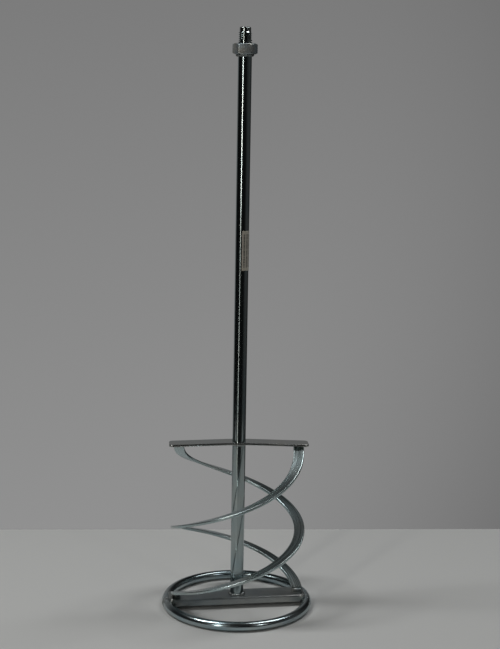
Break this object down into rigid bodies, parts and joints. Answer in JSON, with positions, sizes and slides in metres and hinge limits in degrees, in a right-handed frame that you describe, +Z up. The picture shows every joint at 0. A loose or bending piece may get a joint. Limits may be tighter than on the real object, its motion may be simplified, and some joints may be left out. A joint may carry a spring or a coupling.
{
  "type": "mortar mixing paddle",
  "caption": "Mixing paddle: round shaft with a threaded drive end and hex, carrying a welded cage of helical ribbons between a flat crossbar and a base ring.",
  "frame": {"origin": "on the shaft's axis, at the underside of the base ring", "axes": "+Z up the shaft towards the drive thread; +X roughly along the crossbars"},
  "size_m": [0.16, 0.16, 0.608],
  "materials": {
    "bright_bar": "bright zinc-plated drawn bar, glossy",
    "hex_steel": "zinc-plated, satin",
    "flat_bar": "zinc-plated mill flat, satin",
    "strip": "zinc-plated strip, satin",
    "weld_metal": "plated weld bead, rough",
    "label_paper": "printed paper sticker, matt"
  },
  "bodies": {
    "root": {"shaft": "bright_bar", "base_ring": "bright_bar", "hex_nut": "hex_steel", "upper_crossbar": "flat_bar", "lower_crossbar": "flat_bar", "ribbon_right": "strip", "ribbon_left": "strip", "nut_weld": "weld_metal", "hub_weld": "weld_metal", "foot_weld": "weld_metal", "bar_end_weld_right": "weld_metal", "bar_end_weld_left": "weld_metal", "ribbon_top_weld_right": "weld_metal", "ribbon_top_weld_left": "weld_metal", "ribbon_foot_weld_right": "weld_metal", "ribbon_foot_weld_left": "weld_metal", "ring_weld": "weld_metal", "label": "label_paper"}
  },
  "joints": []
}
